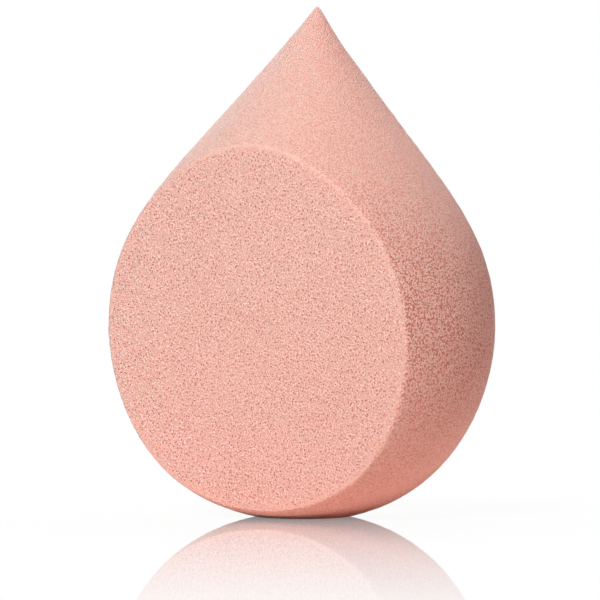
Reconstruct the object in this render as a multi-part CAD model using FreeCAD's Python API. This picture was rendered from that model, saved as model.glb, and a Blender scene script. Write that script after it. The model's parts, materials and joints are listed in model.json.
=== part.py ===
import FreeCAD, Part
import math
import os

# Teardrop makeup sponge: one piece of foam, ground to a drop with a pointed tip and sliced
# flat once, in millimetres. +Z is up, the slice faces -Y and the origin is the middle of
# the foot, the small flat that the sponge stands on.

# Ground body, measured along its own axis from the round bottom to the tip
body_length = 60.65
belly_radius = 22.7
belly_height = 22.6
tip_radius = 0.6
tip_half_angle = 34.0

# How far the outline's curves run straight on before they turn:
# the bottom as a share of the belly radius, the lower side as a share of the belly height,
# the shoulder and the hollow flank as shares of the height from belly to tip
bottom_share = 0.76
lower_side_share = 0.38
shoulder_share = 0.37
flank_share = 0.60

# Flat slice: its distance from the body's axis at belly height, how far it turns down from
# facing straight out, and the rounding of its rim
slice_offset = 10.5
slice_tilt = 10.5
rim_radius = 0.5

# Foot: the body leans away from the slice and is flattened a little where it stands
lean_angle = 5.25
foot_rise = 0.4

# How far every cutter reaches past the body
overrun = 5.0

UP = FreeCAD.Vector(0, 0, 1)
SIDEWAYS = FreeCAD.Vector(1, 0, 0)
ORIGIN = FreeCAD.Vector(0, 0, 0)


def outline_point(radius, height):
    """A point of the half outline, which is drawn on the side away from the slice."""
    return FreeCAD.Vector(0, radius, height)


def curve_edge(poles):
    """A smooth edge that leaves its first pole and meets its last along the outer poles."""
    curve = Part.BezierCurve()
    curve.setPoles(poles)
    return curve.toShape()


def drop_outline():
    """Half of the drop's section: bottom curve, shoulder with a hollow flank, rounded tip."""
    half_angle = math.radians(tip_half_angle)
    upper_height = body_length - belly_height
    tip_centre_height = body_length - tip_radius

    pole = outline_point(0, 0)
    belly = outline_point(belly_radius, belly_height)
    bottom_edge = curve_edge([
        pole,
        outline_point(belly_radius * bottom_share, 0),
        outline_point(belly_radius, belly_height - belly_height * lower_side_share),
        belly,
    ])

    flank_top = outline_point(
        tip_radius * math.cos(half_angle),
        tip_centre_height + tip_radius * math.sin(half_angle),
    )
    down_the_flank = outline_point(math.sin(half_angle), -math.cos(half_angle))
    upper_edge = curve_edge([
        belly,
        outline_point(belly_radius, belly_height + upper_height * shoulder_share),
        flank_top + down_the_flank * (upper_height * flank_share),
        flank_top,
    ])

    tip = outline_point(0, body_length)
    tip_middle_angle = (half_angle + math.pi / 2) / 2
    tip_middle = outline_point(
        tip_radius * math.cos(tip_middle_angle),
        tip_centre_height + tip_radius * math.sin(tip_middle_angle),
    )
    tip_edge = Part.Arc(flank_top, tip_middle, tip).toShape()
    axis_edge = Part.LineSegment(tip, pole).toShape()
    return Part.Wire([bottom_edge, upper_edge, tip_edge, axis_edge])


def cut_beyond(body, point, normal):
    """Cuts away what lies beyond a plane, and returns the rest and the flat face."""
    reach = body_length + overrun
    rest = body.cut(Part.makeCylinder(reach, reach, point, normal)).Solids[0]
    flats = [face for face in rest.Faces if isinstance(face.Surface, Part.Plane)]
    flat = min(flats, key=lambda face: abs((face.CenterOfMass - point).dot(normal)))
    return rest, flat


def ground_drop():
    """The drop as it leaves grinding, standing on its pole with its axis upright."""
    section = Part.Face(drop_outline())
    full_turn = 360
    return section.revolve(ORIGIN, UP, full_turn)


def sliced_drop():
    """The ground drop with its flat slice and the slice's rounded rim."""
    tilt = math.radians(slice_tilt)
    outward = FreeCAD.Vector(0, -math.cos(tilt), -math.sin(tilt))
    on_slice = UP * belly_height + outward * slice_offset
    body, slice_face = cut_beyond(ground_drop(), on_slice, outward)
    return body.makeFillet(rim_radius, slice_face.Edges)


def foam_body():
    """The whole sponge, leaning back on its foot, with the foot's middle at the origin."""
    body = sliced_drop()
    body.rotate(ORIGIN, SIDEWAYS, -lean_angle)
    body, foot = cut_beyond(body, UP * foot_rise, -UP)
    body.translate(-foot.CenterOfMass)
    return body


os.makedirs("parts", exist_ok=True)
sponge = foam_body()
sponge.exportStep("parts/foam_body.step")
print("foam_body: volume mm3", round(sponge.Volume, 1), "centre", sponge.CenterOfMass)
print("foam_body: box", sponge.BoundBox)
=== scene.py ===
import json
import math

import bpy
import numpy as np
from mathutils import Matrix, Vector, noise
from mathutils.kdtree import KDTree


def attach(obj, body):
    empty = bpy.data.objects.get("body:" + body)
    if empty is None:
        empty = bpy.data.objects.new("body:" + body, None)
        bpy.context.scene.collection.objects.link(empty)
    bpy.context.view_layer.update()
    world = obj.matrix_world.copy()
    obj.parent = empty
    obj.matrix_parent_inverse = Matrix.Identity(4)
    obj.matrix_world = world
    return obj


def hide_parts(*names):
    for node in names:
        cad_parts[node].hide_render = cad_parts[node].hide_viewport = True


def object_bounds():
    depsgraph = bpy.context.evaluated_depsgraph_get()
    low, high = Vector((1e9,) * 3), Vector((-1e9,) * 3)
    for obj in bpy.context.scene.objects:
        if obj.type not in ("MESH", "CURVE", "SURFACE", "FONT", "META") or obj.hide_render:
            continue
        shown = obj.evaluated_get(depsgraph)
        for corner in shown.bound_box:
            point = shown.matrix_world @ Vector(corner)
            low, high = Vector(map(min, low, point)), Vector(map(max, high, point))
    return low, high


# Teardrop makeup sponge of fine foam, in metres. The foam takes its shape from the packed
# solid and gets an even mesh, a finer tip, a grain and one material with two faces: ground
# and sliced.

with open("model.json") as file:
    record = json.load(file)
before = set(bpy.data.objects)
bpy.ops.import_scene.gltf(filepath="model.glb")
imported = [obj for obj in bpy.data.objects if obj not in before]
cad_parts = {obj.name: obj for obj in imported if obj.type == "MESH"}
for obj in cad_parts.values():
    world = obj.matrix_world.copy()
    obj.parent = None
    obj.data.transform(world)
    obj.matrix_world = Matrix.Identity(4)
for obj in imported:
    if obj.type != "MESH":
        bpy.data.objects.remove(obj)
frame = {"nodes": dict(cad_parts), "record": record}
cad_low, cad_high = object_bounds()

MM = 0.001
WHITE = (1, 1, 1, 1)

# Foam surface: its mesh, and its lumps and grain, which are weaker on the slice and its rim
mesh_cell = 0.32 * MM
lump_size = 1.3 * MM
lump_height = 0.030 * MM
grain_size = 0.62 * MM
grain_height = 0.022 * MM
grain_shift = Vector((7.3, 1.9, 4.1))
slice_share_of_grain = 0.35
rim_share_of_grain = 0.3

# How far a point may lie off a flat and still belong to it
flat_tolerance = 0.008 * MM

# Tip: finer than the solid's and bent a little away from the slice. It is drawn in fully over
# the draw share of its reach and bent over the bend share. No point is drawn in by more than
# the most share of its distance from the body's axis, which leans to the back.
body_lean = math.radians(5.25)
tip_reach = 9.0 * MM
tip_draw = 0.16 * MM
tip_draw_share = 0.45
most_draw_share = 0.5
tip_bend = 0.30 * MM
tip_bend_share = 0.5

# Rim of the slice: how far it reaches over the slice and over the ground side, where the
# ground face turns into the sliced one, and how far down the side the rim is looked for
rim_on_slice = 0.6 * MM
rim_on_ground = 0.45 * MM
cut_start = -0.5 * rim_on_ground
cut_end = 0.25 * rim_on_slice
rim_depth = 2 * rim_on_ground
rim_far = 4 * rim_on_ground

# Cells and pores in the material
slice_cell = 0.19 * MM
pore_spacing = 0.46 * MM
ground_cell = 0.22 * MM
jolt_size = 0.26 * MM
jolt_reach = 0.05 * MM
mottle_size = 9.0 * MM
slice_relief = 0.08 * MM
ground_relief = 0.20 * MM
fine_relief = 0.10 * MM
slice_pattern_turn = (-math.pi / 2, 0, 0.6)
ground_pattern_turn = (0.62, 0.91, 0.37)

# Where each begins and ends on the way out from a cell's middle, as shares of the cell
wall_shares = (0.25, 0.75)
pore_shares = (0.10, 0.27)
lump_shares = (0.15, 0.70)
crevice_shares = (0.42, 0.75)

# Weakest pore and lowest lump, beside the strongest and highest, and the mottle's range
weakest_pore_share = 0.2
lowest_lump_share = 0.5
mottle_shares = (0.3, 0.7)

# How strongly lumps get a painted highlight and crevices painted shade, where the ground side
# is calm and where coarse
lump_highlight_shares = (0.5, 0.9)
crevice_shade_shares = (0.3, 0.9)

# How much the rim calms the relief, and how strongly it gets a painted highlight
rim_calm_share = 0.4
rim_highlight_share = 0.6

# Heights at which the ground side turns calm, near the foot and near the tip
foot_calm = 2.0 * MM
tip_calm = 45.0 * MM
calm_reach = 20.0 * MM

# Foam colours, the first two of each face for its mottle
ground_colours = ((0.80, 0.475, 0.40, 1), (0.82, 0.505, 0.43, 1))
# Painted highlight on the ground's lumps
lump_highlight_colour = (1.0, 0.85, 0.77, 1)
# Painted shade in the ground's crevices
crevice_shade_colour = (0.42, 0.12, 0.085, 1)
slice_colours = ((0.71, 0.40, 0.335, 1), (0.73, 0.42, 0.355, 1))
# Cell walls: partly the foam's own paler tone, partly painted light on them
wall_tone_and_light_colour = (0.94, 0.65, 0.57, 1)
# Painted shade in the slice's open pores
pore_shade_colour = (0.48, 0.075, 0.045, 1)
# Painted highlight along the slice's rounded rim
rim_highlight_colour = (0.745, 0.475, 0.41, 1)

# Camera: level, turned to the sponge's right so that the slice faces front left
image_px = 600
view_turn = math.radians(31.23)
view_distance = 420 * MM
aim_right = -0.35 * MM
aim_height = 25.34 * MM
px_per_mm = 8.53
sensor_width = 36.0

# Floor: its mirror image and its shadow, which fade away from the sponge, and the light that
# it gives back, rosy next to the sponge from a painted reflection of the pink sponge
floor_reach = 3.0
floor_drop = 0.02 * MM
floor_fade = 60 * MM
mirror_level = 0.75
mirror_fade = 150 * MM
mirror_roughness = 0.02
shadow_level = 0.16
shadow_start = 0.2 * floor_fade
shadow_colour = (0.85, 0.85, 0.85, 1)
# Painted reflection of the pink sponge in the light that the floor gives back near it
sponge_reflection_start = 0.3 * floor_fade
sponge_reflection_colour = (1.0, 0.72, 0.64, 1)
far_colour = (0.68, 0.68, 0.68, 1)

# Light of the surroundings on the foam, and the colour of the lamps on its shaded side
world_level = 0.02
fill_colour = (1.0, 0.45, 0.36)

view_right = Vector((math.cos(view_turn), math.sin(view_turn), 0))
view_ahead = Vector((-math.sin(view_turn), math.cos(view_turn), 0))
view_up = Vector((0, 0, 1))


# Foam piece


def even_mesh(node):
    """The node's surface with an even mesh of small faces that lie on it."""
    work = bpy.data.objects.new("even_work", node.data.copy())
    bpy.context.scene.collection.objects.link(work)
    remesh = work.modifiers.new("even", "REMESH")
    remesh.mode = "VOXEL"
    remesh.voxel_size = mesh_cell
    wrap = work.modifiers.new("lay_on", "SHRINKWRAP")
    wrap.target = node
    wrap.wrap_method = "NEAREST_SURFACEPOINT"
    graph = bpy.context.evaluated_depsgraph_get()
    mesh = bpy.data.meshes.new_from_object(work.evaluated_get(graph))
    bpy.data.objects.remove(work)
    return mesh


def point_vectors(mesh, name):
    """One vector for every point of the mesh, such as its place or its normal."""
    values = np.empty(len(mesh.vertices) * 3)
    mesh.vertices.foreach_get(name, values)
    return values.reshape(-1, 3)


def slice_plane():
    """A point of the slice and its outward direction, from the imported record."""
    mount = next(m for m in frame["record"]["mounts"] if m["name"] == "slice_face")
    return np.array(mount["pos_m"]), np.array(mount["axis"])


def smooth(value, start, end):
    """0 before start, 1 after end, and a smooth step between them."""
    t = np.clip((value - start) / (end - start), 0, 1)
    return t * t * (3 - 2 * t)


def search_tree(points, chosen):
    """A tree that finds the nearest of the chosen points."""
    tree = KDTree(len(chosen))
    for i in chosen:
        tree.insert(points[i], int(i))
    tree.balance()
    return tree


def rim_distance(points, depth):
    """Distance from the slice's rim, above zero on the slice and below zero off it."""
    on_slice = depth < flat_tolerance
    slice_points = search_tree(points, np.flatnonzero(on_slice))
    side_points = search_tree(points, np.flatnonzero(~on_slice & (depth < rim_depth)))
    distance = np.full(len(points), -rim_far)
    for i, point in enumerate(points):
        if on_slice[i]:
            distance[i] = side_points.find(point)[2]
        elif depth[i] < rim_far:
            distance[i] = -slice_points.find(point)[2]
    return distance


def fine_tip(points):
    """The points, drawn in towards the body's axis near the tip and bent there to the back."""
    tip = points[points[:, 2].argmax()]
    drop = tip[2] - points[:, 2]
    below = drop / tip_reach
    share = 1 - smooth(below, tip_draw_share, 1)
    across = points[:, :2] - tip[:2]
    across[:, 1] += drop * math.sin(body_lean)
    radius = np.maximum(np.linalg.norm(across, axis=1), flat_tolerance)
    draw = share * np.minimum(tip_draw / radius, most_draw_share)
    moved = points.copy()
    moved[:, :2] -= across * draw[:, None]
    moved[:, 1] += tip_bend * (1 - smooth(below, 0, tip_bend_share))
    return moved


def grain(point):
    """Height of the foam's lumps and grain at a point."""
    lumps = noise.noise(Vector(point) / lump_size)
    grains = noise.noise(Vector(point) / grain_size + grain_shift)
    return lumps * lump_height + grains * grain_height


def add_share(mesh, name, values):
    """Gives the mesh a share at every point that the material reads by name."""
    layer = mesh.attributes.new(name, "FLOAT", "POINT")
    layer.data.foreach_set("value", values.astype(np.float32))


def make_foam():
    """The foam, with the shares of slice and rim that its material reads."""
    mesh = even_mesh(frame["nodes"]["foam_body"])
    points = point_vectors(mesh, "co")
    normals = point_vectors(mesh, "normal")

    on_slice, outward = slice_plane()
    depth = -(points - on_slice) @ outward
    distance = rim_distance(points, depth)
    cut = smooth(distance, cut_start, cut_end)
    rim = smooth(distance, -rim_on_ground, 0) * (1 - smooth(distance, 0, rim_on_slice))

    heights = np.array([grain(point) for point in points])
    heights *= 1 - (1 - slice_share_of_grain) * cut
    heights *= 1 - (1 - rim_share_of_grain) * rim
    moved = fine_tip(points) + normals * heights[:, None]
    standing = points[:, 2] < flat_tolerance
    moved[standing, 2] = cad_low[2]
    moved[:, 2] = np.maximum(moved[:, 2], cad_low[2])
    mesh.vertices.foreach_set("co", moved.ravel())
    add_share(mesh, "cut_share", cut)
    add_share(mesh, "rim_share", rim)
    mesh.polygons.foreach_set("use_smooth", np.ones(len(mesh.polygons), bool))
    mesh.update()
    mesh.name = "foam"
    piece = bpy.data.objects.new("foam", mesh)
    bpy.context.scene.collection.objects.link(piece)
    return piece


# Foam material


class Graph:
    """Short ways to add nodes to a material or a world and to join them."""

    def __init__(self, owner):
        self.owner = owner
        owner.use_nodes = True
        self.tree = owner.node_tree
        self.tree.nodes.clear()

    def node(self, kind, **settings):
        made = self.tree.nodes.new(kind)
        for key, value in settings.items():
            setattr(made, key, value)
        return made

    def join(self, source, socket):
        """Links an output to a socket, or sets the socket to a plain value."""
        if hasattr(source, "is_output"):
            self.tree.links.new(source, socket)
        else:
            socket.default_value = source

    def math(self, operation, first, second):
        made = self.node("ShaderNodeMath", operation=operation)
        self.join(first, made.inputs[0])
        self.join(second, made.inputs[1])
        return made.outputs[0]

    def blend(self, factor, first, second):
        made = self.node("ShaderNodeMix", data_type="FLOAT")
        self.join(factor, made.inputs[0])
        self.join(first, made.inputs[2])
        self.join(second, made.inputs[3])
        return made.outputs[0]

    def tint(self, factor, first, second):
        made = self.node("ShaderNodeMix", data_type="RGBA")
        self.join(factor, made.inputs[0])
        self.join(first, made.inputs[6])
        self.join(second, made.inputs[7])
        return made.outputs[2]

    def ramp(self, value, start, end, low=0.0, high=1.0, shape="SMOOTHSTEP"):
        made = self.node("ShaderNodeMapRange", interpolation_type=shape)
        self.join(value, made.inputs["Value"])
        made.inputs["From Min"].default_value = start
        made.inputs["From Max"].default_value = end
        made.inputs["To Min"].default_value = low
        made.inputs["To Max"].default_value = high
        return made.outputs[0]

    def noise(self, place, size, detail):
        made = self.node("ShaderNodeTexNoise")
        self.join(place, made.inputs["Vector"])
        made.inputs["Scale"].default_value = 1 / size
        made.inputs["Detail"].default_value = detail
        return made

    def cells(self, place, size, space):
        """How far a place is from the middle of its cell, and the cell's own chance number."""
        made = self.node("ShaderNodeTexVoronoi", feature="F1", voronoi_dimensions=space)
        self.join(place, made.inputs["Vector"])
        made.inputs["Scale"].default_value = 1 / size
        chance = self.node("ShaderNodeSeparateColor")
        self.join(made.outputs["Color"], chance.inputs[0])
        return made.outputs["Distance"], chance.outputs[0]

    def turned(self, place, angles):
        made = self.node("ShaderNodeMapping")
        self.join(place, made.inputs["Vector"])
        made.inputs["Rotation"].default_value = angles
        return made.outputs[0]

    def share(self, name):
        return self.node("ShaderNodeAttribute", attribute_name=name).outputs["Fac"]

    def coloured(self, kind, colour):
        """A shader of that kind and colour."""
        made = self.node(kind)
        self.join(colour, made.inputs["Color"])
        return made

    def mixed(self, factor, first, second):
        """The first shader where the factor is 0, and the second where it is 1."""
        made = self.node("ShaderNodeMixShader")
        self.join(factor, made.inputs[0])
        self.join(first.outputs[0], made.inputs[1])
        self.join(second.outputs[0], made.inputs[2])
        return made

    def shown(self, shader, kind="ShaderNodeOutputMaterial"):
        """The material or world, which shows the shader."""
        self.join(shader.outputs[0], self.node(kind).inputs["Surface"])
        return self.owner


def foam_material():
    """Foam with a ground and a sliced face, told apart by the shares of the mesh."""
    g = Graph(bpy.data.materials.new("foam"))
    cut = g.share("cut_share")
    rim = g.share("rim_share")

    # Places are jolted a little, so that no cell is quite round. The slice has its own flat
    # pattern, and the ground pattern lies askew, so that its lattice doesn't show.
    place = g.node("ShaderNodeTexCoord").outputs["Object"]
    jolt = g.node("ShaderNodeVectorMath", operation="MULTIPLY_ADD")
    g.join(g.noise(place, jolt_size, 0.0).outputs["Color"], jolt.inputs[0])
    g.join((jolt_reach, jolt_reach, jolt_reach), jolt.inputs[1])
    g.join(place, jolt.inputs[2])
    flat = g.turned(jolt.outputs[0], slice_pattern_turn)
    askew = g.turned(jolt.outputs[0], ground_pattern_turn)

    # Slice: fine cell walls, and here and there the pore of a cell that was cut open, which
    # gets painted shade
    wall = g.ramp(g.cells(flat, slice_cell, "2D")[0], *wall_shares)
    pore_away, pore_chance = g.cells(flat, pore_spacing, "2D")
    pore = g.ramp(pore_away, *pore_shares, 1.0, 0.0)
    pore = g.math("MULTIPLY", pore, g.ramp(pore_chance, 0.0, 1.0, weakest_pore_share, 1.0))

    # Ground side: small lumps with crevices between them
    lump_away, lump_chance = g.cells(askew, ground_cell, "3D")
    lump = g.ramp(lump_away, *lump_shares, 1.0, 0.0)
    lump = g.math("MULTIPLY", lump, g.ramp(lump_chance, 0.0, 1.0, lowest_lump_share, 1.0))
    crevice = g.ramp(lump_away, *crevice_shares)

    # The ground side is coarsest around the belly, finer towards the tip and the foot
    rise = g.node("ShaderNodeSeparateXYZ")
    g.join(place, rise.inputs[0])
    above_foot = g.ramp(rise.outputs["Z"], foot_calm, foot_calm + calm_reach)
    below_tip = g.ramp(rise.outputs["Z"], tip_calm - calm_reach, tip_calm, 1.0, 0.0)
    coarse = g.math("MULTIPLY", above_foot, below_tip)

    # Relief, calmer along the rim
    calm = g.math("SUBTRACT", 1.0, g.math("MULTIPLY", rim, rim_calm_share))
    ground_height = g.math("MULTIPLY", lump, g.blend(coarse, fine_relief, ground_relief))
    slice_height = g.math("MULTIPLY", g.math("SUBTRACT", wall, pore), slice_relief)
    height = g.math("MULTIPLY", g.blend(cut, ground_height, slice_height), calm)
    bump = g.node("ShaderNodeBump")
    bump.inputs["Distance"].default_value = 1.0
    g.join(height, bump.inputs["Height"])

    # Colour: painted highlight on lumps and painted light on walls, painted shade in crevices
    # and pores, and along the rim less of that shade and a painted highlight
    mottle = g.ramp(g.noise(place, mottle_size, 2.0).outputs["Fac"], *mottle_shares)
    # Painted highlight on the lumps and painted shade in the crevices, both strongest where
    # the ground side is coarse
    lump_highlight = g.math("MULTIPLY", lump, g.blend(coarse, *lump_highlight_shares))
    crevice_shade = g.math("MULTIPLY", crevice, g.blend(coarse, *crevice_shade_shares))
    ground = g.tint(mottle, *ground_colours)
    ground = g.tint(lump_highlight, ground, lump_highlight_colour)
    ground = g.tint(g.math("MULTIPLY", crevice_shade, calm), ground, crevice_shade_colour)
    sliced = g.tint(mottle, *slice_colours)
    # Paler cell walls and darker cell middles: partly the foam's own grain, partly painted
    # light on the walls and painted shade in the open cells
    sliced = g.tint(wall, sliced, wall_tone_and_light_colour)
    # Painted shade in the open pores, weaker along the rim
    sliced = g.tint(g.math("MULTIPLY", pore, calm), sliced, pore_shade_colour)
    base = g.tint(cut, ground, sliced)
    # Painted highlight along the rim
    base = g.tint(g.math("MULTIPLY", rim, rim_highlight_share), base, rim_highlight_colour)

    shader = g.node("ShaderNodeBsdfPrincipled")
    g.join(base, shader.inputs["Base Color"])
    g.join(bump.outputs[0], shader.inputs["Normal"])
    shader.inputs["Roughness"].default_value = 0.9
    shader.inputs["Specular IOR Level"].default_value = 0.2
    shader.inputs["Subsurface Weight"].default_value = 0.2
    shader.inputs["Subsurface Radius"].default_value = (1.0, 0.3, 0.2)
    shader.inputs["Subsurface Scale"].default_value = 3.0 * MM
    shader.inputs["Sheen Weight"].default_value = 0.25
    shader.inputs["Sheen Roughness"].default_value = 0.5
    shader.inputs["Sheen Tint"].default_value = (1.0, 0.95, 0.96, 1)
    return g.shown(shader)


foam = make_foam()
foam.data.materials.clear()
foam.data.materials.append(foam_material())
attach(foam, "root")
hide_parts("foam_body")


# Studio


def seen_directly(g):
    """1 for rays that come straight, or by gloss or glass, from the camera."""
    path = g.node("ShaderNodeLightPath").outputs
    seen = g.math("MAXIMUM", path["Is Camera Ray"], path["Is Glossy Ray"])
    return g.math("MAXIMUM", seen, path["Is Transmission Ray"])


def floor_material():
    """Floor that looks white, with a shadow and a mirror image that fade away from the
    sponge. The light that it gives back is rosy next to the sponge, a painted reflection of
    the pink sponge."""
    g = Graph(bpy.data.materials.new("floor"))
    length = g.node("ShaderNodeVectorMath", operation="LENGTH")
    g.join(g.node("ShaderNodeTexCoord").outputs["Object"], length.inputs[0])
    far = length.outputs["Value"]

    white = g.coloured("ShaderNodeEmission", WHITE)
    shadowed = g.coloured("ShaderNodeBsdfDiffuse", shadow_colour)
    lit = g.mixed(g.ramp(far, shadow_start, floor_fade, shadow_level, 0.0), white, shadowed)
    mirror = g.coloured("ShaderNodeBsdfGlossy", WHITE)
    mirror.inputs["Roughness"].default_value = mirror_roughness
    mirror_share = g.ramp(far, 0.0, mirror_fade, mirror_level, 0.0, "LINEAR")
    looks = g.mixed(mirror_share, lit, mirror)

    # Painted reflection of the pink sponge in the floor's light, fading away from the sponge
    sponge_reflection = g.ramp(far, sponge_reflection_start, floor_fade, 1.0, 0.0)
    glow = g.coloured("ShaderNodeBsdfDiffuse", g.tint(sponge_reflection, far_colour, sponge_reflection_colour))
    return g.shown(g.mixed(seen_directly(g), glow, looks))


def add_floor():
    """A level floor just under the foot."""
    sides = [(-1, -1), (1, -1), (1, 1), (-1, 1)]
    corners = [(x * floor_reach, y * floor_reach, -floor_drop) for x, y in sides]
    mesh = bpy.data.meshes.new("floor")
    mesh.from_pydata(corners, [], [(0, 1, 2, 3)])
    mesh.materials.append(floor_material())
    floor = bpy.data.objects.new("floor", mesh)
    bpy.context.scene.collection.objects.link(floor)


def add_world():
    """White surroundings that light the foam only a little."""
    g = Graph(bpy.data.worlds.new("studio"))
    white = g.coloured("ShaderNodeBackground", WHITE)
    strength = g.ramp(seen_directly(g), 0.0, 1.0, world_level, 1.0, "LINEAR")
    g.join(strength, white.inputs["Strength"])
    bpy.context.scene.world = g.shown(white, "ShaderNodeOutputWorld")


def add_lamp(name, turn, rise, distance, size, level, colour=(1, 1, 1)):
    """A soft panel seen from the sponge at a turn and a rise from the camera, in degrees. A
    white face that looks straight at it shows that level of its light."""
    around = math.radians(turn)
    above = math.radians(rise)
    sideways = view_right * math.sin(around) - view_ahead * math.cos(around)
    towards = sideways * math.cos(above) + view_up * math.sin(above)
    lamp = bpy.data.lights.new(name, "AREA")
    lamp.shape = "SQUARE"
    lamp.size = size
    lamp.energy = level * (math.pi * distance) ** 2
    lamp.color = colour
    panel = bpy.data.objects.new(name, lamp)
    middle = Vector((0, 0, (cad_low[2] + cad_high[2]) / 2))
    panel.location = middle + towards * distance
    panel.rotation_euler = towards.to_track_quat("Z", "Y").to_euler()
    bpy.context.scene.collection.objects.link(panel)


def add_camera():
    """A level camera whose picture shows the sponge at the chosen pixels per millimetre."""
    camera = bpy.data.cameras.new("camera")
    camera.sensor_width = sensor_width
    camera.lens = sensor_width * px_per_mm / MM * view_distance / image_px
    holder = bpy.data.objects.new("camera", camera)
    aim = view_right * aim_right + view_up * aim_height
    holder.location = aim - view_ahead * view_distance
    holder.rotation_euler = (math.pi / 2, 0, view_turn)
    bpy.context.scene.collection.objects.link(holder)
    bpy.context.scene.camera = holder


add_floor()
add_world()
add_lamp("key", turn=-27, rise=32, distance=1.4, size=0.44, level=1.0)
add_lamp("low_fill", turn=35, rise=10, distance=0.8, size=0.3, level=0.32, colour=fill_colour)
add_lamp("side_fill", turn=95, rise=30, distance=0.8, size=0.5, level=0.05, colour=fill_colour)
add_lamp("back_left", turn=-160, rise=30, distance=0.8, size=0.5, level=0.46)
add_lamp("back_right", turn=165, rise=35, distance=0.8, size=0.5, level=0.42)
add_camera()
bpy.context.scene.view_settings.view_transform = "Standard"
